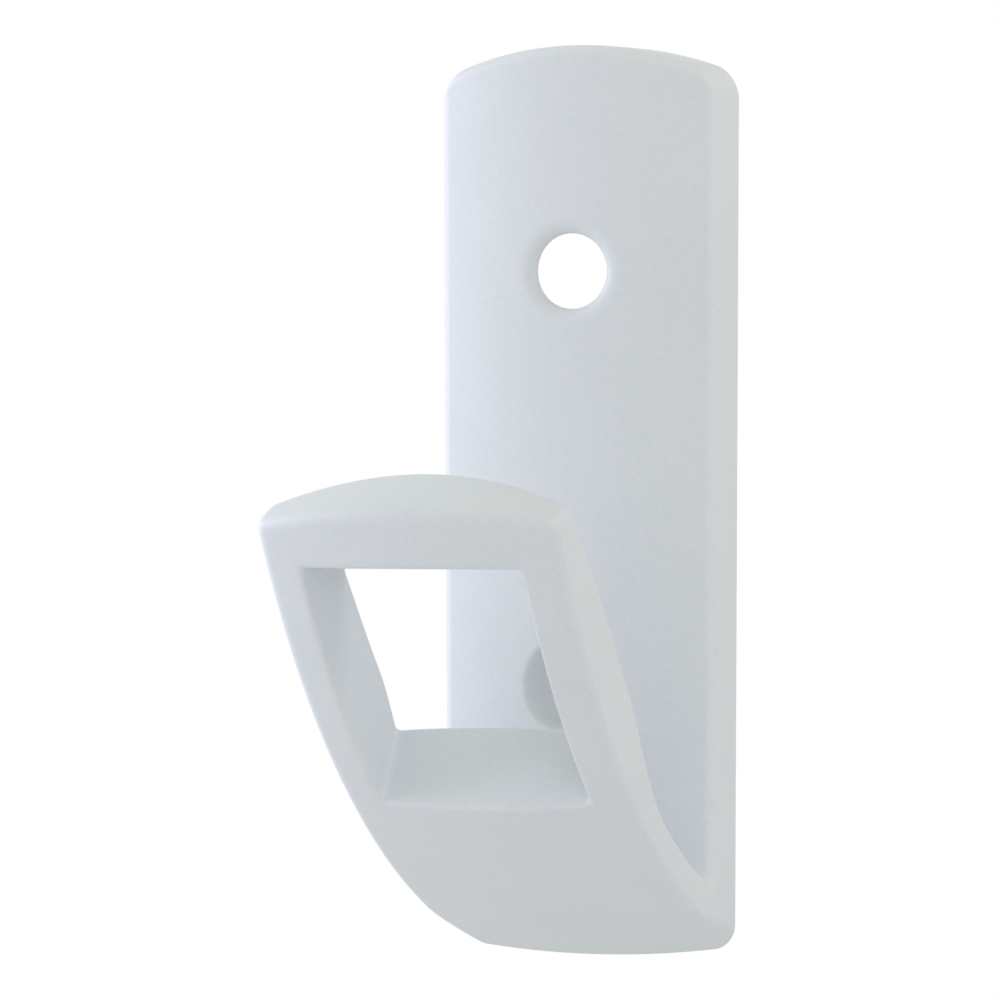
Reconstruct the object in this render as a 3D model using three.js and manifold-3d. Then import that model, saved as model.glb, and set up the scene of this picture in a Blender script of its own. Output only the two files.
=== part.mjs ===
// Wall hook for clothes, one white plastic moulding: a crowned back plate with two screw holes,
// and a bowed arm with a window, held as two solids that meet on a level seat at the foot.
// Millimetres. The wall is the plane Y = 0 and the hook stands out towards -Y, +Z is up.
// Side views are drawn as (out, up): out from the wall, up from the foot of the hook.
import * as THREE from 'three';
import { mergeVertices } from 'three/addons/utils/BufferGeometryUtils.js';
import Module from 'manifold-3d';

// Back plate
const HEIGHT = 75;
const PLATE_WIDTH = 24.8;
const FOOT_WIDTH = 24.1;
const PLATE_EDGE = 4.6;
const CROWN = 2;
const TOP_ARCH_RADIUS = 33;
const TOP_CORNER = 2;
const BROW_RUN = 2.6;
const BROW_DROP = 1;
const EDGE_ROUND = 0.8;
const SEAT_HEIGHT = 9.5;

// Screw holes, with a rounded rim in front
const HOLE_DIAMETER = 6.2;
const HOLE_SPACING = 34;
const HOLES_MIDDLE = 39.4;
const RIM_SPREAD = 1.4;
const RIM_DEPTH = 0.7;
const RIM_ANGLE = 70;

// Hollows moulded into the back, with a rib between them
const WALL = 1.3;
const RIB = 4;
const HOLLOW_FOOT = 29;
const HOLLOW_CORNER = 2;

// Arm: where its front edge runs at the sides, from the foot to the tip
const ARM_REACH = 39.2;
const ARM_RISE = 36.1;
const FOOT_LIFT = 0.9;
const FOOT_ANGLE = 14.4;
const FOOT_PULL = 17.9;
const TIP_ANGLE = 64.5;
const TIP_PULL = 19.3;
const TIP_ARCH = 1;
const TIP_WIDTH = 26.3;
const TIP_ROUND = 1.3;

// Arm thickness, square to its front: at the root, the belly and the tip
const SIDE_THICKNESS = { root: 3.6, belly: 6.3, tip: 3.4 };
const MIDDLE_THICKNESS = { root: 5.1, belly: 8.8, tip: 7.3 };
const ROOT_AT = 0.35;
const BELLY_AT = 0.64;

// Throat between plate and arm: where it meets the arm's back, and how it runs there from the plate
const SIDE_THROAT_AT = 0.14;
const MIDDLE_THROAT_AT = 0.18;
const THROAT_DROP = 2.6;
const THROAT_PULL = 1.2;

// Window through the arm
const BAR = 3.4;
const WINDOW_TOP = 32.4;
const SILL_BACK = 19.6;
const SILL_BACK_OUT = 20.7;
const SILL_ANGLE = 67;

// Fineness of the round stretches
const ROUND_STEPS = 4;
const CURVE_STEPS = 18;
const ACROSS_STEPS = 16;
const UPWARD_STEPS = 8;
const HOLE_STEPS = 30;

// Length by which a cutter passes the faces that it cuts
const PASS = 6;

const plateHalf = PLATE_WIDTH / 2;
const plateMiddle = PLATE_EDGE + CROWN;
const wasm = await Module();
wasm.setup();

const radians = THREE.MathUtils.degToRad;
const point = (out, up) => new THREE.Vector2(out, up);
const heading = (degrees) => point(Math.cos(radians(degrees)), Math.sin(radians(degrees)));

// Share of the crown at a place across the width, 1 in the middle and 0 at the sides
const crownShare = (across) => 1 - across * across;

// Half the width of the hook: the plate widens a little from foot to top, and the arm from root to tip
function halfWidth(out, up) {
  const plateAt = (height) => THREE.MathUtils.lerp(FOOT_WIDTH, PLATE_WIDTH, height / HEIGHT) / 2;
  const share = Math.max(0, out - plateMiddle) / (ARM_REACH - plateMiddle);
  return plateAt(up) + share * (TIP_WIDTH / 2 - plateAt(ARM_RISE));
}

// Place in space of a point of a side outline, at a station across the width and clear of a side wall
function placed(across, { x, y }, clear = 0) {
  return new THREE.Vector3(across * (halfWidth(x, y) - clear), -x, y);
}

// Stations across the width from one side face to the other. Each has its place, from -1 to 1,
// and the inset that rounds the long edges near the side faces.
function stationsAcross() {
  const right = [];
  for (let i = 0; i <= ROUND_STEPS; i += 1) {
    const turn = (Math.PI / 2) * (i / ROUND_STEPS);
    const aside = plateHalf - EDGE_ROUND + EDGE_ROUND * Math.cos(turn);
    right.push({ across: aside / plateHalf, inset: EDGE_ROUND * (1 - Math.sin(turn)) });
  }
  const flank = right[ROUND_STEPS].across;
  const inner = [];
  for (let i = 1; i < ACROSS_STEPS; i += 1) {
    inner.push({ across: flank * (2 * i / ACROSS_STEPS - 1), inset: 0 });
  }
  const left = right.map((station) => ({ across: -station.across, inset: station.inset }));
  return [...left, ...inner, ...right.reverse()];
}

// Closed skin over a row of closed outlines, all with the same number of points, capped at both ends
function loft(rings) {
  const count = rings[0].length;
  const positions = rings.flat().flatMap((place) => [place.x, place.y, place.z]);
  const faces = [];
  for (let ring = 0; ring + 1 < rings.length; ring += 1) {
    for (let i = 0; i < count; i += 1) {
      const here = ring * count + i;
      const beside = ring * count + (i + 1) % count;
      faces.push(here, here + count, beside + count, here, beside + count, beside);
    }
  }
  const last = (rings.length - 1) * count;
  const flat = (ring) => ring.map((place) => point(-place.y, place.z));
  for (const [a, b, c] of THREE.ShapeUtils.triangulateShape(flat(rings[0]), [])) {
    faces.push(a, b, c);
  }
  for (const [a, b, c] of THREE.ShapeUtils.triangulateShape(flat(rings.at(-1)), [])) {
    faces.push(last + a, last + c, last + b);
  }
  const geometry = new THREE.BufferGeometry();
  geometry.setAttribute('position', new THREE.Float32BufferAttribute(positions, 3));
  geometry.setIndex(faces);
  return geometry;
}

// Solid body for joining and cutting, from a closed geometry
function solid(geometry) {
  geometry.deleteAttribute('normal');
  geometry.deleteAttribute('uv');
  const merged = mergeVertices(geometry);
  return new wasm.Manifold(new wasm.Mesh({
    numProp: 3,
    vertProperties: new Float32Array(merged.attributes.position.array),
    triVerts: new Uint32Array(merged.index.array),
  }));
}

// Named mesh from a finished solid body
function piece(name, body, material) {
  const { vertProperties, triVerts } = body.getMesh();
  const geometry = new THREE.BufferGeometry();
  geometry.setAttribute('position', new THREE.BufferAttribute(vertProperties, 3));
  geometry.setIndex(new THREE.BufferAttribute(triVerts, 1));
  geometry.computeVertexNormals();
  const mesh = new THREE.Mesh(geometry, material);
  mesh.name = name;
  return mesh;
}

// Rounded corner: points from one place to another, bending towards the corner between them
function bend(from, corner, to) {
  return new THREE.QuadraticBezierCurve(from, corner, to).getPoints(ROUND_STEPS);
}

// Drop of a rounded corner at a distance aside from the middle, 0 up to where the rounding starts
function cornerDrop(aside, half, radius) {
  const into = THREE.MathUtils.clamp(Math.abs(aside) - (half - radius), 0, radius);
  return radius - Math.sqrt(radius ** 2 - into ** 2);
}

// How far the front of the plate stands out from the wall
const plateFront = ({ across, inset }) => PLATE_EDGE + CROWN * crownShare(across) - inset;

// Height of the arched top at a place across, with its two corners rounded
function plateTop({ across }) {
  const aside = across * plateHalf;
  const arch = TOP_ARCH_RADIUS - Math.sqrt(TOP_ARCH_RADIUS ** 2 - aside ** 2);
  return HEIGHT - arch - cornerDrop(aside, plateHalf, TOP_CORNER);
}

// Side outline of the plate at one station, from the seat up the front, over the top and down the back
function plateOutline(station) {
  const front = plateFront(station);
  const top = plateTop(station);
  const brow = bend(point(front, top - BROW_DROP), point(front, top), point(front - BROW_RUN, top));
  const face = [];
  for (let i = 0; i < UPWARD_STEPS; i += 1) {
    face.push(point(front, THREE.MathUtils.lerp(SEAT_HEIGHT, brow[0].y, i / UPWARD_STEPS)));
  }
  return [point(0, SEAT_HEIGHT), ...face, ...brow, point(0, top)];
}

// Screw hole with its bell-mouthed rim, turned about the hole's axis
function holeCutter(up) {
  const radius = HOLE_DIAMETER / 2;
  const profile = [point(0, PASS), point(radius, PASS)];
  const brim = radians(RIM_ANGLE);
  for (let i = 0; i <= ROUND_STEPS; i += 1) {
    const turn = brim * (i / ROUND_STEPS);
    const wide = radius + RIM_SPREAD * (1 - Math.cos(turn));
    const out = plateMiddle - RIM_DEPTH * (1 - Math.sin(turn));
    profile.push(point(wide, -out));
  }
  const edge = profile.at(-1);
  profile.push(point(edge.x + PASS * Math.tan(brim) / 2, edge.y - PASS / 2), point(0, edge.y - PASS / 2));
  const cutter = new THREE.LatheGeometry(profile.reverse(), HOLE_STEPS);
  return cutter.translate(0, 0, up);
}

// Hollow in the back between two heights. Its floor follows the crown, so the front wall is even,
// and its upper end may follow the arched top.
function hollowCutter(low, highAt) {
  const half = plateHalf - WALL;
  const rings = stationsAcross().map(({ across }) => {
    const place = { across: across * half / plateHalf, inset: 0 };
    const floor = plateFront(place) - WALL;
    const corner = cornerDrop(across * half, half, HOLLOW_CORNER);
    const bottom = low + corner;
    const top = highAt(place) - corner;
    const outline = [point(-PASS, bottom), point(floor, bottom), point(floor, top), point(-PASS, top)];
    return outline.map((edge) => placed(across, edge, WALL));
  });
  return loft(rings);
}

// Back plate: crowned slab with an arched top, hollowed behind, with two screw holes
function backPlate(material) {
  const rings = stationsAcross().map((station) => plateOutline(station)
    .map((place) => placed(station.across, place)));
  const upper = hollowCutter(HOLES_MIDDLE + RIB / 2, (place) => plateTop(place) - WALL);
  const lower = hollowCutter(HOLLOW_FOOT, () => HOLES_MIDDLE - RIB / 2);
  let body = solid(loft(rings));
  body = body.subtract(solid(upper)).subtract(solid(lower));
  for (const side of [1, -1]) {
    body = body.subtract(solid(holeCutter(HOLES_MIDDLE + side * HOLE_SPACING / 2)));
  }
  return piece('back_plate', body, material);
}

// Thickness of the arm along its length: slim at the root, full at the belly, rounding off to the tip
function thicknessAt(along, { root, belly, tip }) {
  if (along > BELLY_AT) {
    return belly - (belly - tip) * ((along - BELLY_AT) / (1 - BELLY_AT)) ** 3;
  }
  return root + (belly - root) * THREE.MathUtils.smoothstep(along, ROOT_AT, BELLY_AT);
}

// Side outline of the arm on one guide: at the side faces, or down the middle where the crown is full.
// It runs from the seat round the throat, up the back of the arm, over the tip and down the front.
function armGuide(crown, lift, arch, thickness, throatAt) {
  const foot = point(0, lift);
  const tip = point(ARM_REACH + crown, ARM_RISE + arch);
  const footPull = FOOT_PULL + crown / Math.cos(radians(FOOT_ANGLE));
  const front = new THREE.CubicBezierCurve(
    foot,
    foot.clone().addScaledVector(heading(FOOT_ANGLE), footPull),
    tip.clone().addScaledVector(heading(TIP_ANGLE), -TIP_PULL),
    tip,
  );
  const backAt = (along) => {
    const { x, y } = front.getTangent(along);
    return front.getPoint(along).addScaledVector(point(-y, x), thicknessAt(along, thickness));
  };
  const brow = 1 - TIP_ROUND / (3 * TIP_PULL);
  const seatFront = point(PLATE_EDGE + crown, SEAT_HEIGHT);
  const root = backAt(throatAt);
  const throat = new THREE.CubicBezierCurve(
    seatFront,
    seatFront.clone().setY(SEAT_HEIGHT - THROAT_DROP),
    root.clone().addScaledVector(front.getTangent(throatAt), -THROAT_PULL),
    root,
  );
  const back = [];
  const fore = [];
  for (let i = 1; i <= CURVE_STEPS; i += 1) {
    back.push(backAt(THREE.MathUtils.lerp(throatAt, brow, i / CURVE_STEPS)));
    fore.push(front.getPoint(brow * (1 - i / CURVE_STEPS)));
  }
  const heel = backAt(1);
  const onTop = tip.clone().sub(heel).setLength(TIP_ROUND);
  const heelBend = bend(back.pop(), heel, heel.clone().add(onTop));
  const tipBend = bend(tip.clone().sub(onTop), tip, front.getPoint(brow));
  return [...throat.getPoints(2 * ROUND_STEPS), ...back, ...heelBend, ...tipBend, ...fore];
}

// Outline moved inwards by an inset. Its first point stays on the seat and its last on the wall.
function insetOutline(outline, inset) {
  return outline.map((here, i) => {
    const along = outline[Math.min(i + 1, outline.length - 1)].clone().sub(outline[Math.max(i - 1, 0)]);
    const inward = point(along.y, -along.x).setLength(inset);
    if (i === 0) {
      return point(here.x - inset, here.y);
    }
    if (i === outline.length - 1) {
      return point(here.x, here.y + inset / Math.cos(radians(FOOT_ANGLE)));
    }
    return here.clone().add(inward);
  });
}

// Window cutter: a level head, a sloping sill and a bar left standing on each side
function windowCutter() {
  const slope = heading(-SILL_ANGLE);
  const sill = point(SILL_BACK_OUT, SILL_BACK);
  const sillBack = sill.clone().addScaledVector(slope, -PASS);
  const sillFront = sill.clone().addScaledVector(slope, 3 * PASS);
  const beyond = ARM_REACH + CROWN + PASS;
  const outline = [
    sillBack,
    sillFront,
    point(beyond, sillFront.y),
    point(beyond, WINDOW_TOP),
    point(sillBack.x, WINDOW_TOP),
  ];
  const ring = (side) => outline.map((place) => placed(side, place, BAR));
  return loft([ring(-1), ring(1)]);
}

// Arm: lofted across the width between the side guide and the middle guide, with its window cut out
function hookArm(material) {
  const side = armGuide(0, FOOT_LIFT, 0, SIDE_THICKNESS, SIDE_THROAT_AT);
  const middle = armGuide(CROWN, 0, TIP_ARCH, MIDDLE_THICKNESS, MIDDLE_THROAT_AT);
  const rings = stationsAcross().map(({ across, inset }) => {
    const outline = side.map((place, i) => place.clone().lerp(middle[i], crownShare(across)));
    const closed = [point(0, SEAT_HEIGHT), ...insetOutline(outline, inset)].reverse();
    return closed.map((place) => placed(across, place));
  });
  const body = solid(loft(rings)).subtract(solid(windowCutter()));
  return piece('hook_arm', body, material);
}

const whitePlastic = { color: 0xdfe5e8, roughness: 0.5, metalness: 0 };
const hook = new THREE.Group();
hook.name = 'clothes_hook';
hook.add(backPlate(new THREE.MeshStandardMaterial(whitePlastic)));
hook.add(hookArm(new THREE.MeshStandardMaterial(whitePlastic)));

// The origin lies on the wall, midway between the screw holes
hook.position.z = -HOLES_MIDDLE;

export default hook;
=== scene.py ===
# Clothes hook for a wall, one white plastic moulding, in soft studio light.
# The moulding is a side outline carried across the width, with a window and two screw holes. It is held as
# two closed pieces, plate and arm, that meet without a visible seam on one level plane above the foot.
import math

import bmesh
import bpy
import numpy as np
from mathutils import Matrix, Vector


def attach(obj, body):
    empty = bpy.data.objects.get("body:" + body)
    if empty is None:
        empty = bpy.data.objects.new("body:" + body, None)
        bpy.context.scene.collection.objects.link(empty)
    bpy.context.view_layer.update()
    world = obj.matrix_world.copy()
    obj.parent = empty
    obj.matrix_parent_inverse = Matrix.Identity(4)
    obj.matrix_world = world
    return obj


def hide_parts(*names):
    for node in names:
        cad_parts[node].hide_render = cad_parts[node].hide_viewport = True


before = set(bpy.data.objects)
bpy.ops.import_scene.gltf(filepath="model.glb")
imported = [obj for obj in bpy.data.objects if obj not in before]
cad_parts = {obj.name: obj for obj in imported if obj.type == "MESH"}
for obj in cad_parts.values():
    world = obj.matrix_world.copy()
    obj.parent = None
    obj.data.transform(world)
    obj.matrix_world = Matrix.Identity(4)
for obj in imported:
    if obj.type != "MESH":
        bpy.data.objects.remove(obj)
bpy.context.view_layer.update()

MM = 0.001

# Edges that turn by more than this look sharp
SHARP_EDGE = math.radians(35)

# Back plate, in millimetres
HEIGHT = 75.0
PLATE_WIDTH = 24.8
FOOT_WIDTH = 24.1
PLATE_EDGE = 4.6
CROWN = 2.0
TOP_ARCH_RADIUS = 33.0
TOP_CORNER = 2.0
BROW_RUN = 2.6
BROW_DROP = 1.0
EDGE_ROUND = 0.8
FOOT_CORNER = 1.8
FOOT_CORNER_RUN = 9.0
SEAT_HEIGHT = 9.5

# Screw holes
HOLE_RADIUS = 3.1
HOLE_SPACING = 34.0
HOLES_MIDDLE = 39.4
RIM_SPREAD = 1.4
RIM_DEPTH = 0.7
SINK_SPREAD = 0.9
SINK_DEPTH = 1.8
SINK_EDGE = 0.35
HOLE_PATCH = 5.2
HOLE_FLARE = 0.3

# Hollows in the back
WALL = 1.3
RIB = 4.0
HOLLOW_FOOT = 29.0
HOLLOW_DRAFT = 0.45

# Arm
ARM_REACH = 39.2
ARM_RISE = 36.1
FOOT_LIFT = 0.9
FOOT_ANGLE = math.radians(14.4)
FOOT_PULL = 17.9
TIP_ANGLE = math.radians(64.5)
TIP_PULL = 19.3
TIP_ARCH = 1.0
TIP_WIDTH = 26.3
TIP_ROUND = 1.3
SIDE_THICKNESS = (3.6, 6.3, 3.4)
MIDDLE_THICKNESS = (5.1, 8.8, 7.3)
ROOT_AT = 0.35
BELLY_AT = 0.64
SIDE_THROAT_AT = 0.14
MIDDLE_THROAT_AT = 0.18
THROAT_DROP = 2.6
THROAT_PULL = 1.2
THROAT_STEP = 0.002

# Window in the arm
BAR = 3.4
WINDOW_TOP = 32.4
SILL_BACK = 19.0
SILL_BACK_OUT = 20.34
SILL_ANGLE = math.radians(62.4)
WINDOW_CORNER = 0.4
WINDOW_EDGE_ROUND = 0.3
WINDOW_MARGIN = 0.09
WINDOW_NARROWER = 0.3
WINDOW_HALF_HEIGHT = 6.5

# Rows and stations of the grid
EDGE_STATIONS = 8
ROUND_STEPS = 8
SHELF_ROWS = 4
PLATE_FOOT_ROWS = 10
HOLE_ROWS = 24
FOOT_ROWS = 16
THROAT_ROWS = 30
ROOT_ROWS = 36
WINDOW_ROWS = 44
TIP_ROWS = 14
CREST_ROWS = 8
WINDOW_EDGE_STEPS = 5
WINDOW_WALL_ROWS = 6
RIM_STEPS = 9
SINK_STEPS = 6
PATCH_STATIONS = 12
WINDOW_STATIONS = 24

# Values that follow from these
plate_half = PLATE_WIDTH / 2
hollow_half = plate_half - WALL
lower_hole = HOLES_MIDDLE - HOLE_SPACING / 2
upper_hole = HOLES_MIDDLE + HOLE_SPACING / 2
rib_low = HOLES_MIDDLE - RIB / 2
rib_high = HOLES_MIDDLE + RIB / 2
tip_at = 1 - TIP_ROUND / (3 * TIP_PULL)
window_share = 1 - BAR / (TIP_WIDTH / 2 - WINDOW_NARROWER)


def spread(*stops):
    """Row of numbers through the stops: (start, count, next, count, ...), even between each pair."""
    pieces = [np.linspace(stops[i], stops[i + 2], stops[i + 1], endpoint=False)
              for i in range(0, len(stops) - 2, 2)]
    return np.concatenate(pieces + [np.array([stops[-1]])])


def ease(value, start, end):
    """Smooth step from 0 at start to 1 at end: 3x^2 - 2x^3 of the clipped share x."""
    x = np.clip((value - start) / (end - start), 0, 1)
    return x * x * (3 - 2 * x)


def crown_share(across):
    """Share of the crown, 1 in the middle and 0 at the sides: one less the square of the place across."""
    return 1 - across ** 2


def half_width(out, up):
    """Half the width: grows evenly up the plate, and from the plate to the tip of the arm."""
    plate_at = (FOOT_WIDTH + (PLATE_WIDTH - FOOT_WIDTH) * up / HEIGHT) / 2
    plate_at_tip = (FOOT_WIDTH + (PLATE_WIDTH - FOOT_WIDTH) * ARM_RISE / HEIGHT) / 2
    share = np.maximum(0, out - PLATE_EDGE - CROWN) / (ARM_REACH - PLATE_EDGE - CROWN)
    return plate_at + share * (TIP_WIDTH / 2 - plate_at_tip)


def in_space(across, side):
    """Points in metres, from places across (-1 to 1) and side points (out, up) in millimetres."""
    out, up = side[..., 0], side[..., 1]
    aside = across * half_width(out, up)
    return np.stack([aside, -out, up - HOLES_MIDDLE], axis=-1) * MM


def side_points(out, up):
    """Side points (out, up) from two arrays of one shape."""
    return np.stack(np.broadcast_arrays(out, up), axis=-1).astype(float)


def plate_front(across):
    """Stand-out of the plate's front: its edge plus the crown."""
    return PLATE_EDGE + CROWN * crown_share(across)


def plate_top(across):
    """Height of the arched top: a circle's arc, less a quarter round at each corner."""
    aside = np.abs(across) * plate_half
    arch = TOP_ARCH_RADIUS - np.sqrt(TOP_ARCH_RADIUS ** 2 - aside ** 2)
    into = np.clip(aside - (plate_half - TOP_CORNER), 0, TOP_CORNER)
    return HEIGHT - arch - (TOP_CORNER - np.sqrt(TOP_CORNER ** 2 - into ** 2))


def plate_back(across, up):
    """Depth of the back: 0 on the wall, and in the hollows the front less an even wall.

    The sides of the hollows are drafted by smooth steps."""
    top = plate_top(across) - WALL
    inside = 1 - ease(np.abs(across) * plate_half, hollow_half - HOLLOW_DRAFT, hollow_half)
    below_rib = 1 - ease(up, rib_low - HOLLOW_DRAFT, rib_low)
    lower = ease(up, HOLLOW_FOOT, HOLLOW_FOOT + HOLLOW_DRAFT) * below_rib
    upper = ease(up, rib_high, rib_high + HOLLOW_DRAFT) * (1 - ease(up, top - HOLLOW_DRAFT, top))
    return (plate_front(across) - WALL) * inside * (lower + upper)


def cubic(points, t):
    """Cubic Bezier curve through four control points at t, and its unit direction."""
    a, b, c, d = (np.asarray(p, float) for p in points)
    t = np.asarray(t, float)[..., None]
    u = 1 - t
    place = u ** 3 * a + 3 * u * u * t * b + 3 * u * t * t * c + t ** 3 * d
    along = u * u * (b - a) + 2 * u * t * (c - b) + t * t * (d - c)
    return place, along / np.linalg.norm(along, axis=-1, keepdims=True)


def guide(crown, lift, arch):
    """Control points of the arm's front in side view, from the foot on the wall to the tip."""
    foot = np.array([0.0, lift])
    tip = np.array([ARM_REACH + crown, ARM_RISE + arch])
    pull = FOOT_PULL + crown / math.cos(FOOT_ANGLE)
    return (foot,
            foot + pull * np.array([math.cos(FOOT_ANGLE), math.sin(FOOT_ANGLE)]),
            tip - TIP_PULL * np.array([math.cos(TIP_ANGLE), math.sin(TIP_ANGLE)]),
            tip)


SIDE_GUIDE = guide(0.0, FOOT_LIFT, 0.0)
MIDDLE_GUIDE = guide(CROWN, 0.0, TIP_ARCH)


def thickness(t, sizes):
    """Thickness along the arm: a smooth step from root to belly, then a cubic fall to the tip."""
    root, belly, tip = sizes
    fall = belly - (belly - tip) * np.clip((t - BELLY_AT) / (1 - BELLY_AT), 0, 1) ** 3
    return np.where(t > BELLY_AT, fall, root + (belly - root) * ease(t, ROOT_AT, BELLY_AT))


def arm_front(across, t):
    """Side points of the arm's front: side and middle guide curves, mixed by the crown's share."""
    share = crown_share(across)[..., None]
    return cubic(SIDE_GUIDE, t)[0] * (1 - share) + cubic(MIDDLE_GUIDE, t)[0] * share


def arm_back(across, t):
    """Side points of the arm's back: each guide moved square to itself by its thickness, then mixed."""
    share = crown_share(across)[..., None]
    mixed = 0
    at_sides = (SIDE_GUIDE, SIDE_THICKNESS, 1 - share)
    in_middle = (MIDDLE_GUIDE, MIDDLE_THICKNESS, share)
    for points, sizes, part in (at_sides, in_middle):
        place, along = cubic(points, t)
        normal = np.stack([-along[..., 1], along[..., 0]], axis=-1)
        mixed = mixed + part * (place + normal * thickness(np.asarray(t), sizes)[..., None])
    return mixed


def sill_level(side):
    """Distance above the plane of the window's sill."""
    outward = (side[..., 0] - SILL_BACK_OUT) * math.sin(SILL_ANGLE)
    upward = (side[..., 1] - SILL_BACK) * math.cos(SILL_ANGLE)
    return outward + upward


def head_level(side):
    """Distance above the window's level head."""
    return side[..., 1] - WINDOW_TOP


# Fine row of places along the arm, past its foot
FIRST_SAMPLE = 0.05
SAMPLES = 600


def crossing(surface, across, level):
    """Place along the arm where a surface passes a level: the zero between two samples of a fine row."""
    t = np.linspace(FIRST_SAMPLE, 1, SAMPLES)
    values = level(surface(across[:, None], np.broadcast_to(t, (len(across), len(t)))))
    first = np.clip((values < 0).sum(axis=1), 1, len(t) - 1)
    row = np.arange(len(across))
    low, high = values[row, first - 1], values[row, first]
    return t[first - 1] + (t[first] - t[first - 1]) * low / (low - high)


def window_along(surface, across, height):
    """Place along the arm for a height in the window, -1 on the sill and 1 on the head."""
    sill = crossing(surface, across, sill_level)
    head = crossing(surface, across, head_level)
    return sill + (head - sill) * (height + 1) / 2


def bend(start, corner, end, steps):
    """Rounded corner: a quadratic Bezier from start to end, bending towards the corner."""
    t = np.linspace(0, 1, steps + 1)[:, None]
    first, middle, last = (p[..., None, :] for p in (start, corner, end))
    return (1 - t) ** 2 * first + 2 * t * (1 - t) * middle + t * t * last


# Stations across the width, from one side face to the other, with the inset that rounds the long edges
turn = np.linspace(0, math.pi / 2, EDGE_STATIONS)[::-1]
edge_aside = plate_half - EDGE_ROUND + EDGE_ROUND * np.cos(turn)
edge_inset = EDGE_ROUND * (1 - np.sin(turn))
window_edge = window_share * (1 + WINDOW_MARGIN) * plate_half
inner_aside = spread(0.0, PATCH_STATIONS, HOLE_PATCH, WINDOW_STATIONS - PATCH_STATIONS, window_edge, 2,
                     hollow_half - HOLLOW_DRAFT, 6, hollow_half, 3, edge_aside[0])
right_aside = np.concatenate([inner_aside, edge_aside[1:]])
right_inset = np.concatenate([np.zeros(len(inner_aside)), edge_inset[1:]])
aside = np.concatenate([-right_aside[:0:-1], right_aside])
inset = np.concatenate([right_inset[:0:-1], right_inset])
across = aside / plate_half
middle_station = len(right_aside) - 1

# Foot corners on the wall, rounder than the long edges: what they add to the inset at each station
into_corner = np.clip(np.abs(aside) - (plate_half - FOOT_CORNER), 0, FOOT_CORNER)
corner_lift = np.maximum(0, FOOT_CORNER - np.sqrt(FOOT_CORNER ** 2 - into_corner ** 2) - inset)

# Rows up the plate, the same in front and behind: plain heights, then heights below the arched top
plain_rows = spread(SEAT_HEIGHT, 14, lower_hole - HOLE_PATCH, HOLE_ROWS, lower_hole + HOLE_PATCH, 3,
                    HOLLOW_FOOT, 6, HOLLOW_FOOT + HOLLOW_DRAFT, 14, rib_low - HOLLOW_DRAFT, 6, rib_low, 6,
                    rib_high, 6, rib_high + HOLLOW_DRAFT, 16, upper_hole - HOLE_PATCH, HOLE_ROWS,
                    upper_hole + HOLE_PATCH)
top_share = spread(0.0, 12, 1.0)[1:, None]
top = plate_top(across)
hollow_top = top - WALL - HOLLOW_DRAFT
high_rows = plain_rows[-1] + top_share * (hollow_top - plain_rows[-1])
brow_rows = top - spread(WALL + HOLLOW_DRAFT, 6, WALL, 2, BROW_DROP)[1:, None]
plate_rows = np.concatenate([np.repeat(plain_rows[:, None], len(across), axis=1), high_rows, brow_rows]).T

# Place along the arm where its throat ends, at each station
throat_at = SIDE_THROAT_AT + (MIDDLE_THROAT_AT - SIDE_THROAT_AT) * crown_share(across)


def arm_rows(surface):
    """Places along the arm at each station, from the throat to the tip, that keep step with the window."""
    sill = window_along(surface, across, -1 - 2 * WINDOW_MARGIN)
    head = window_along(surface, across, 1 + 2 * WINDOW_MARGIN)
    share = np.linspace(0, 1, ROOT_ROWS + 1)[None, :]
    root = throat_at[:, None] + share * (sill - throat_at)[:, None]
    share = np.linspace(0, 1, WINDOW_ROWS + 1)[None, 1:]
    middle = sill[:, None] + share * (head - sill)[:, None]
    share = np.linspace(0, 1, TIP_ROWS + 1)[None, 1:]
    tip = head[:, None] + share * (tip_at - head)[:, None]
    return np.concatenate([root, middle, tip], axis=1)


def plate_sections():
    """Back, top and front of the plate at each station: lists of side points, from the foot up and over."""
    wide = across[:, None]
    front = plate_front(across) - inset
    lift = FOOT_LIFT * (1 - crown_share(across)) + inset / math.cos(FOOT_ANGLE) + corner_lift
    foot_share = np.linspace(0, 1, PLATE_FOOT_ROWS + 1)[None, :-1]
    foot_up = lift[:, None] + foot_share * (SEAT_HEIGHT - lift)[:, None]
    back_up = np.concatenate([plate_rows, top[:, None]], axis=1)
    shelf = np.linspace(0, 1, SHELF_ROWS + 2)[None, 1:-1] * (front - BROW_RUN)[:, None]
    brow = bend(side_points(front - BROW_RUN, top), side_points(front, top),
                side_points(front, top - BROW_DROP), ROUND_STEPS)
    face_up = plate_rows[:, -2::-1]
    return [side_points(0.0, foot_up), side_points(plate_back(wide, back_up), back_up),
            side_points(shelf, top[:, None]), brow, side_points(front[:, None], face_up)]


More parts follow.
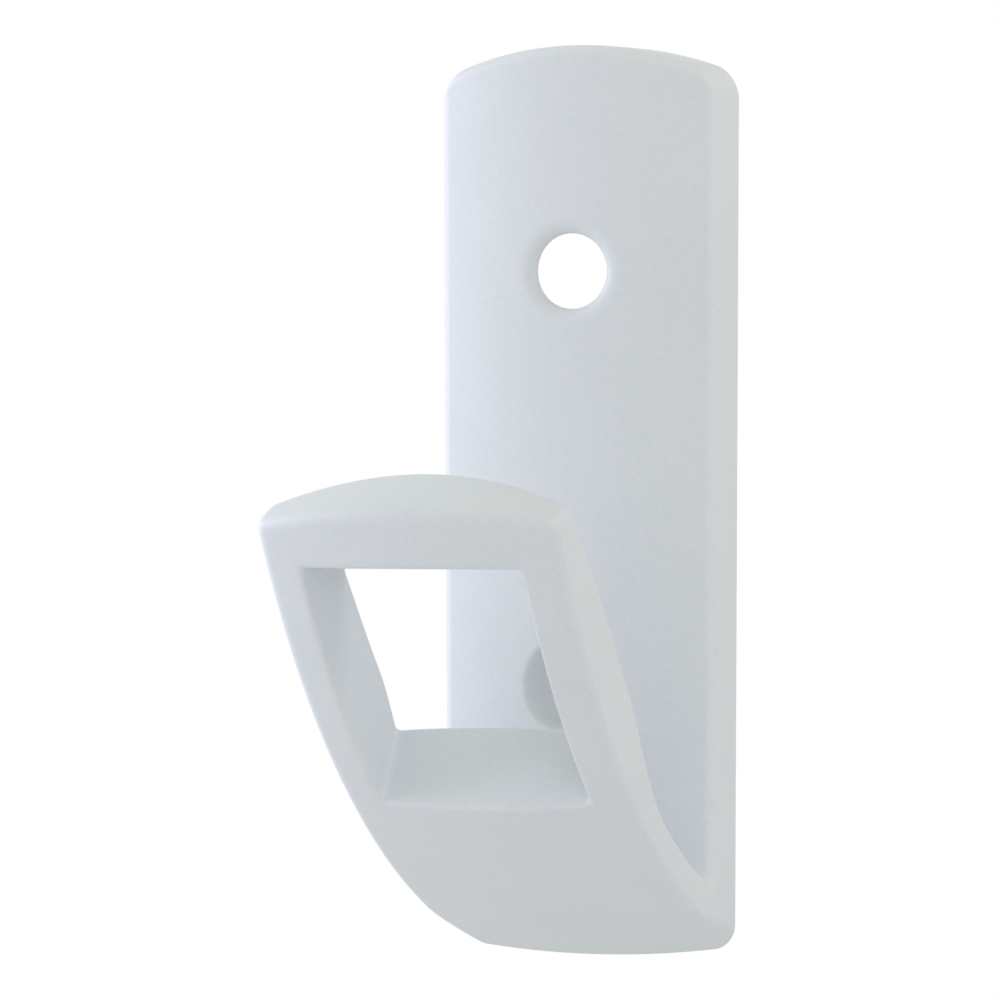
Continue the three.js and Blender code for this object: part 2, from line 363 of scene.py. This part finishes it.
def arm_sections():
    """Throat, back, tip and front of the arm at each station: lists of side points, down to the foot."""
    wide = across[:, None]
    seat = side_points(plate_front(across), SEAT_HEIGHT)
    root = arm_back(across, throat_at)
    near = arm_back(across, throat_at - THROAT_STEP)
    along = (root - near) / np.linalg.norm(root - near, axis=1, keepdims=True)
    t = np.linspace(0, 1, THROAT_ROWS + 1)[None, 1:, None] ** 2
    below = seat - np.array([0, THROAT_DROP])
    before = root - along * THROAT_PULL
    throat = ((1 - t) ** 3 * seat[:, None] + 3 * (1 - t) ** 2 * t * below[:, None]
              + 3 * (1 - t) * t * t * before[:, None] + t ** 3 * root[:, None])
    back = arm_back(wide, arm_rows(arm_back))
    rows = arm_rows(arm_front)
    foot_rows = np.linspace(0, 1, FOOT_ROWS + 1)[None, :-1] * throat_at[:, None]
    front_rows = np.concatenate([foot_rows, rows], axis=1)
    front = arm_front(wide, front_rows)
    heel = arm_back(across, np.ones(len(across)))
    tip = arm_front(across, np.ones(len(across)))
    ridge = tip - heel
    on_top = TIP_ROUND * ridge / np.linalg.norm(ridge, axis=1, keepdims=True)
    heel_round = bend(back[:, -1], heel, heel + on_top, ROUND_STEPS)
    tip_round = bend(tip - on_top, tip, front[:, -1], ROUND_STEPS)
    share = np.linspace(0, 1, CREST_ROWS + 1)[None, 1:-1, None]
    crest = (heel + on_top)[:, None] * (1 - share) + (tip - on_top)[:, None] * share
    return [throat, back[:, 1:-1], heel_round, crest, tip_round, front[:, -2::-1]]


def rounded(sections, start):
    """Arm outline drawn in by each station's inset, square to itself, and lifted towards the foot corners.

    The last point stays on the wall. The lift fades with the front's distance from the wall."""
    line = np.concatenate([start[:, None]] + sections, axis=1)
    along = np.gradient(line, axis=1)
    along = along / np.linalg.norm(along, axis=2, keepdims=True)
    inward = np.stack([along[..., 1], -along[..., 0]], axis=-1)
    moved = line + inward * inset[:, None, None]
    moved[:, -1, 0] = 0
    moved[:, -1, 1] = line[:, -1, 1] + inset / math.cos(FOOT_ANGLE)
    front = moved[:, -FOOT_ROWS - ROOT_ROWS:]
    front[..., 1] += corner_lift[:, None] * (1 - ease(front[..., 0], 0, FOOT_CORNER_RUN))
    return moved[:, 1:-1]


def boundary(first_station, last_station, first_row, last_row):
    """Stations and rows round a block of the grid, once round, as two arrays."""
    stations = np.arange(first_station, last_station + 1)
    step = 1 if last_row > first_row else -1
    rows = np.arange(first_row, last_row + step, step)
    ring_stations = np.concatenate([stations[:-1], np.full(len(rows) - 1, stations[-1]), stations[:0:-1],
                                    np.full(len(rows) - 1, stations[0])])
    ring_rows = np.concatenate([np.full(len(stations) - 1, rows[0]), rows[:-1],
                                np.full(len(stations) - 1, rows[-1]), rows[:0:-1]])
    return ring_stations, ring_rows


def square_ring(stations, rows):
    """Places once round a square from -1 to 1, in the order of boundary(), even between the corners."""
    u = np.linspace(-1, 1, stations + 1)
    v = np.linspace(-1, 1, rows + 1)
    us = np.concatenate([u[:-1], np.full(rows, 1.0), u[:0:-1], np.full(rows, -1.0)])
    vs = np.concatenate([np.full(stations, -1.0), v[:-1], np.full(stations, 1.0), v[:0:-1]])
    return us, vs


def strip(first, second):
    """Quads between two closed rings of vertex numbers."""
    return np.stack([first, np.roll(first, -1), np.roll(second, -1), second], axis=1)


def window_rings():
    """Rings of points from the arm's front, round the window's edge, through its wall and out on its back.

    The ring follows a square with rounded corners. Each edge is a quadratic Bezier from the surface
    to the wall."""
    u, v = square_ring(2 * WINDOW_STATIONS, WINDOW_ROWS)
    corner_u = WINDOW_CORNER / (window_share * plate_half)
    corner_v = WINDOW_CORNER / WINDOW_HALF_HEIGHT
    into_u = np.clip((np.abs(u) - 1 + corner_u) / corner_u, 0, 1)
    into_v = np.clip((np.abs(v) - 1 + corner_v) / corner_v, 0, 1)
    swing = math.pi / 4 * (into_u + 1 - into_v)
    p = np.sign(u) * (np.minimum(np.abs(u), 1 - corner_u) + corner_u * np.sin(swing))
    q = np.sign(v) * (np.minimum(np.abs(v), 1 - corner_v) + corner_v * np.cos(swing))
    edges = []
    for surface in (arm_front, arm_back):
        flat = []
        for grow in (WINDOW_EDGE_ROUND, 0.0):
            wide = p * window_share * (1 + grow / (window_share * plate_half))
            t = window_along(surface, wide, q * (1 + grow / WINDOW_HALF_HEIGHT))
            flat.append(in_space(wide, surface(wide, t)))
        edges.append(flat)
    (front_flat, front_edge), (back_flat, back_edge) = edges
    through = back_edge - front_edge
    through = through / np.linalg.norm(through, axis=1, keepdims=True) * WINDOW_EDGE_ROUND * MM
    front_round = bend(front_flat, front_edge, front_edge + through, WINDOW_EDGE_STEPS)
    back_round = bend(back_edge - through, back_edge, back_flat, WINDOW_EDGE_STEPS)
    share = np.linspace(0, 1, WINDOW_WALL_ROWS + 1)[None, 1:-1, None]
    wall = front_round[:, -1:] * (1 - share) + back_round[:, :1] * share
    return np.concatenate([front_round, wall, back_round], axis=1)


def rolled_rim():
    """Rim of the upper hole as (spread, depth): a quarter of an ellipse from the front into the bore."""
    swing = np.linspace(math.pi / 2, 0, RIM_STEPS + 1)
    return np.stack([RIM_SPREAD * (1 - np.cos(swing)), RIM_DEPTH * (1 - np.sin(swing))], axis=1)


def sunk_rim():
    """Rim of the lower hole as (spread, depth): a small rounded edge, then a straight cone."""
    brim = np.array([SINK_SPREAD + SINK_EDGE, 0.0])
    corner = np.array([SINK_SPREAD, 0.0])
    bore = np.array([0.0, SINK_DEPTH])
    on_cone = corner + (bore - corner) * SINK_EDGE / (SINK_SPREAD + SINK_DEPTH)
    return np.concatenate([bend(brim, corner, on_cone, SINK_STEPS), bore[None]])


def hole_rings(up, rim):
    """Rings of points from the plate's front into a screw hole and out on its back.

    A square spreads into a circle on the crowned front, the rim leads into the bore, and behind it the
    circle spreads into a square again."""
    u, v = square_ring(2 * PATCH_STATIONS, HOLE_ROWS)
    angle = np.arctan2(v, u)
    square = np.stack([u, v], axis=-1) * HOLE_PATCH
    circle = np.stack([np.cos(angle), np.sin(angle)], axis=-1)

    def seat(flat, depth):
        wide = flat[:, 0] / half_width(0.0, up + flat[:, 1])
        return in_space(wide, side_points(plate_front(wide) - depth, up + flat[:, 1]))

    def behind(flat):
        wide = flat[:, 0] / half_width(0.0, up + flat[:, 1])
        return in_space(wide, side_points(plate_back(wide, up + flat[:, 1]), up + flat[:, 1]))

    brim = HOLE_RADIUS + rim[0, 0]
    rings = [seat(square * (1 - s) + circle * brim * s, 0.0) for s in (0.4, 0.8)]
    rings += [seat(circle * (HOLE_RADIUS + spread_out), depth) for spread_out, depth in rim]
    back_edge = behind(circle * (HOLE_RADIUS + HOLE_FLARE))
    mouth = rings[-1]
    rings += [mouth * (1 - s) + back_edge * s for s in (0.5, 1.0)]
    rings += [behind(circle * (HOLE_RADIUS + HOLE_FLARE) * (1 - s) + square * s) for s in (0.25, 0.5, 0.75)]
    return np.stack(rings, axis=1)


def moulding():
    """Plate and arm as two closed meshes.

    The side outline is carried across all stations. Blocks of the grid are left out at the window and
    the holes and filled by rings, the two side faces close the ends, and one level strip closes each
    piece where they meet."""
    plate = plate_sections()
    seat = side_points(plate_front(across), SEAT_HEIGHT)
    arm = rounded(arm_sections(), seat)
    outline = np.concatenate(plate + [arm], axis=1)
    stations, count = outline.shape[:2]
    grid = in_space(across[:, None], outline)
    number = np.arange(stations * count).reshape(stations, count)
    keep = np.ones((stations - 1, count), bool)

    foot_count = plate[0].shape[1]
    rows = plate_rows.shape[1]
    back_at = foot_count + np.arange(rows)
    brow_first = foot_count + rows + 1 + plate[2].shape[1]
    face_first = brow_first + plate[3].shape[1] - 1
    face_at = face_first + np.arange(rows)[::-1]
    arm_total = ROOT_ROWS + WINDOW_ROWS + TIP_ROWS
    arm_back_at = face_first + rows - 1 + THROAT_ROWS + np.arange(arm_total + 1)
    tip_last = count - FOOT_ROWS - arm_total
    arm_front_at = tip_last + np.arange(arm_total + 1)[::-1]

    points = [grid.reshape(-1, 3)]
    plate_faces, arm_faces = [], []
    plate_ends, arm_ends = [], []
    total = stations * count

    def fill(faces, rings, outer, inner):
        nonlocal total
        ring_count = rings.shape[1]
        ids = total + np.arange(rings.shape[0] * ring_count).reshape(rings.shape[0], ring_count)
        points.append(rings.reshape(-1, 3))
        total += rings.shape[0] * ring_count
        lines = [outer] + [ids[:, i] for i in range(ring_count)] + [inner]
        faces.extend(strip(a, b) for a, b in zip(lines, lines[1:]))

    def leave_out(first, last, low, high):
        keep[first:last, min(low, high):max(low, high)] = False
        return number[boundary(first, last, low, high)]

    first, last = middle_station - PATCH_STATIONS, middle_station + PATCH_STATIONS
    for up, rim in ((lower_hole, sunk_rim()), (upper_hole, rolled_rim())):
        low = int(np.argmin(np.abs(plain_rows - (up - HOLE_PATCH))))
        high = low + HOLE_ROWS
        outer = leave_out(first, last, face_at[low], face_at[high])
        inner = leave_out(first, last, back_at[low], back_at[high])
        fill(plate_faces, hole_rings(up, rim), outer, inner)

    first, last = middle_station - WINDOW_STATIONS, middle_station + WINDOW_STATIONS
    low, high = ROOT_ROWS, ROOT_ROWS + WINDOW_ROWS
    outer = leave_out(first, last, arm_front_at[low], arm_front_at[high])
    inner = leave_out(first, last, arm_back_at[low], arm_back_at[high])
    fill(arm_faces, window_rings(), outer, inner)

    beside = np.roll(number, -1, axis=1)
    skin = np.stack([number[:-1], beside[:-1], beside[1:], number[1:]], axis=-1)
    on_plate = np.zeros(keep.shape, bool)
    on_plate[:, back_at[0]:face_at[0]] = True
    plate_faces.append(skin[keep & on_plate])
    arm_faces.append(skin[keep & ~on_plate])

    # Level strip where the pieces meet, from the back to the front
    behind, before = number[:, back_at[0]], number[:, face_at[0]]
    meeting = np.stack([behind[:-1], behind[1:], before[1:], before[:-1]], axis=1)
    plate_faces.append(meeting)
    arm_faces.append(meeting)

    # Side faces: strips between front and back of the plate and of the arm, and three closing faces
    for end in (0, stations - 1):
        for faces, front, back in ((plate_faces, face_at, back_at), (arm_faces, arm_front_at, arm_back_at)):
            front, back = number[end, front], number[end, back]
            faces.append(np.stack([front[:-1], front[1:], back[1:], back[:-1]], axis=1))
        plate_ends.append(number[end, back_at[-1]:face_first + 1])
        arm_ends.append(number[end, arm_back_at[-1]:tip_last + 1])
        foot = np.concatenate([np.arange(0, foot_count + 1), np.arange(face_at[0], arm_back_at[0] + 1),
                               np.arange(arm_front_at[0], count)])
        arm_ends.append(number[end, foot])

    points = np.concatenate(points)
    return (closed_mesh("back_plate_piece", points, plate_faces, plate_ends),
            closed_mesh("hook_arm_piece", points, arm_faces, arm_ends))


def closed_mesh(name, points, faces, ends):
    """Mesh of the quads and end faces, with only the points that they use."""
    quads = np.concatenate(faces)
    used, renumbered = np.unique(quads, return_inverse=True)
    place = np.full(len(points), -1)
    place[used] = np.arange(len(used))
    mesh = bpy.data.meshes.new(name)
    sides = renumbered.reshape(quads.shape).tolist() + [place[end].tolist() for end in ends]
    mesh.from_pydata(points[used].tolist(), [], sides)
    return finished(mesh)


def finished(mesh):
    """Mesh with its faces turned outwards, smooth but for its sharp edges."""
    work = bmesh.new()
    work.from_mesh(mesh)
    bmesh.ops.recalc_face_normals(work, faces=work.faces)
    work.to_mesh(mesh)
    work.free()
    mesh.shade_smooth()
    mesh.set_sharp_from_angle(angle=SHARP_EDGE)
    return mesh


def white_plastic():
    """Satin white plastic: cool white with faint clouds, and a fine moulded grain in gloss and height."""
    material = bpy.data.materials.new("white_plastic")
    material.use_nodes = True
    nodes, links = material.node_tree.nodes, material.node_tree.links
    shader = nodes["Principled BSDF"]
    shader.inputs["IOR"].default_value = 1.46
    where = nodes.new("ShaderNodeTexCoord")

    def noise(scale, detail):
        node = nodes.new("ShaderNodeTexNoise")
        node.inputs["Scale"].default_value = scale
        node.inputs["Detail"].default_value = detail
        links.new(where.outputs["Object"], node.inputs["Vector"])
        return node.outputs["Fac"]

    def ramp(value, low, high):
        node = nodes.new("ShaderNodeValToRGB")
        node.color_ramp.elements[0].position = 0.3
        node.color_ramp.elements[0].color = low
        node.color_ramp.elements[1].position = 0.7
        node.color_ramp.elements[1].color = high
        links.new(value, node.inputs["Fac"])
        return node.outputs["Color"]

    grain = noise(scale=2600, detail=3)
    clouds = noise(scale=90, detail=2)
    mix = nodes.new("ShaderNodeMix")
    mix.data_type = "RGBA"
    mix.blend_type = "MULTIPLY"
    mix.inputs["Factor"].default_value = 1.0
    links.new(ramp(clouds, (0.705, 0.735, 0.755, 1), (0.725, 0.755, 0.775, 1)), mix.inputs["A"])
    links.new(ramp(grain, (0.955, 0.96, 0.965, 1), (1.0, 1.0, 1.0, 1)), mix.inputs["B"])
    links.new(mix.outputs["Result"], shader.inputs["Base Color"])
    links.new(ramp(grain, (0.42, 0.42, 0.42, 1), (0.56, 0.56, 0.56, 1)), shader.inputs["Roughness"])
    bump = nodes.new("ShaderNodeBump")
    bump.inputs["Strength"].default_value = 0.35
    bump.inputs["Distance"].default_value = 0.00003
    links.new(grain, bump.inputs["Height"])
    links.new(bump.outputs["Normal"], shader.inputs["Normal"])
    return material


def plain(name, color):
    """Matt material of one colour, for the floor."""
    material = bpy.data.materials.new(name)
    material.use_nodes = True
    shader = material.node_tree.nodes["Principled BSDF"]
    shader.inputs["Base Color"].default_value = (*color, 1)
    shader.inputs["Roughness"].default_value = 0.9
    return material


def put(name, data):
    """New object in the scene."""
    item = bpy.data.objects.new(name, data)
    bpy.context.scene.collection.objects.link(item)
    return item


def lamp(name, place, target, size, power, color):
    """Square soft box that faces the target."""
    light = bpy.data.lights.new(name, "AREA")
    light.size = size
    light.energy = power
    light.color = color
    item = put(name, light)
    item.location = place
    item.rotation_euler = (Vector(target) - Vector(place)).to_track_quat("-Z", "Y").to_euler()


plastic = white_plastic()
for mesh, node in zip(moulding(), ("back_plate", "hook_arm")):
    piece = put(mesh.name, mesh)
    mesh.materials.append(plastic)
    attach(piece, "root")
    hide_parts(node)

# Floor below the hook, outside the picture
FLOOR_RADIUS = 0.42
FLOOR_LEVEL = -0.1
FLOOR_SIDES = 96
angle = np.linspace(0, 2 * math.pi, FLOOR_SIDES, endpoint=False)
flat = np.stack([np.cos(angle), np.sin(angle)], axis=1) * FLOOR_RADIUS
floor_rim = np.column_stack([flat, np.full(FLOOR_SIDES, FLOOR_LEVEL)])
floor_mesh = bpy.data.meshes.new("floor")
floor_mesh.from_pydata(floor_rim.tolist(), [], [list(range(FLOOR_SIDES))])
floor_mesh.materials.append(plain("floor_paint", (0.85, 0.85, 0.85)))
put("floor", floor_mesh)

# World: even light, seen as plain white behind the hook and in its gloss
world = bpy.data.worlds.new("studio")
bpy.context.scene.world = world
world.use_nodes = True
tree = world.node_tree
tree.nodes.clear()
ray = tree.nodes.new("ShaderNodeLightPath")
ambient = tree.nodes.new("ShaderNodeBackground")
ambient.inputs["Color"].default_value = (0.99, 1.0, 0.915, 1)
ambient.inputs["Strength"].default_value = 0.645
white = tree.nodes.new("ShaderNodeBackground")
white.inputs["Color"].default_value = (1, 1, 1, 1)
choose = tree.nodes.new("ShaderNodeMixShader")
output = tree.nodes.new("ShaderNodeOutputWorld")
seen = ray.outputs["Is Camera Ray"]
for kind in ("Is Glossy Ray", "Is Transmission Ray"):
    either = tree.nodes.new("ShaderNodeMath")
    either.operation = "MAXIMUM"
    tree.links.new(seen, either.inputs[0])
    tree.links.new(ray.outputs[kind], either.inputs[1])
    seen = either.outputs["Value"]
tree.links.new(seen, choose.inputs["Fac"])
tree.links.new(ambient.outputs["Background"], choose.inputs[1])
tree.links.new(white.outputs["Background"], choose.inputs[2])
tree.links.new(choose.outputs["Shader"], output.inputs["Surface"])

# Soft boxes: a key from the left, a weaker fill beside the camera, and a small faint one close by at the
# upper right
TARGET = (-0.00244, -0.01495, -0.00173)
lamp("key", (-0.94, -0.20, 0.15), TARGET, 0.6, 7.2, (0.77, 0.787, 1.0))
lamp("fill", (0.60, -0.65, 0.05), TARGET, 0.4, 1.37, (0.765, 0.745, 1.0))
lamp("rim", (0.14, 0.0, 0.16), TARGET, 0.08, 0.058, (0.94, 1.0, 0.85))

# Camera at the photograph's angle
AZIMUTH = math.radians(24)
ELEVATION = math.radians(0.5)
DISTANCE = 0.8
toward = Vector((math.sin(AZIMUTH) * math.cos(ELEVATION), -math.cos(AZIMUTH) * math.cos(ELEVATION),
                 math.sin(ELEVATION)))
eye = bpy.data.cameras.new("camera")
eye.sensor_width = 36
eye.lens = 353.97
eye.clip_start = 0.01
camera = put("camera", eye)
camera.location = Vector(TARGET) + toward * DISTANCE
camera.rotation_euler = (-toward).to_track_quat("-Z", "Y").to_euler()
bpy.context.scene.camera = camera
bpy.context.scene.view_settings.view_transform = "Standard"
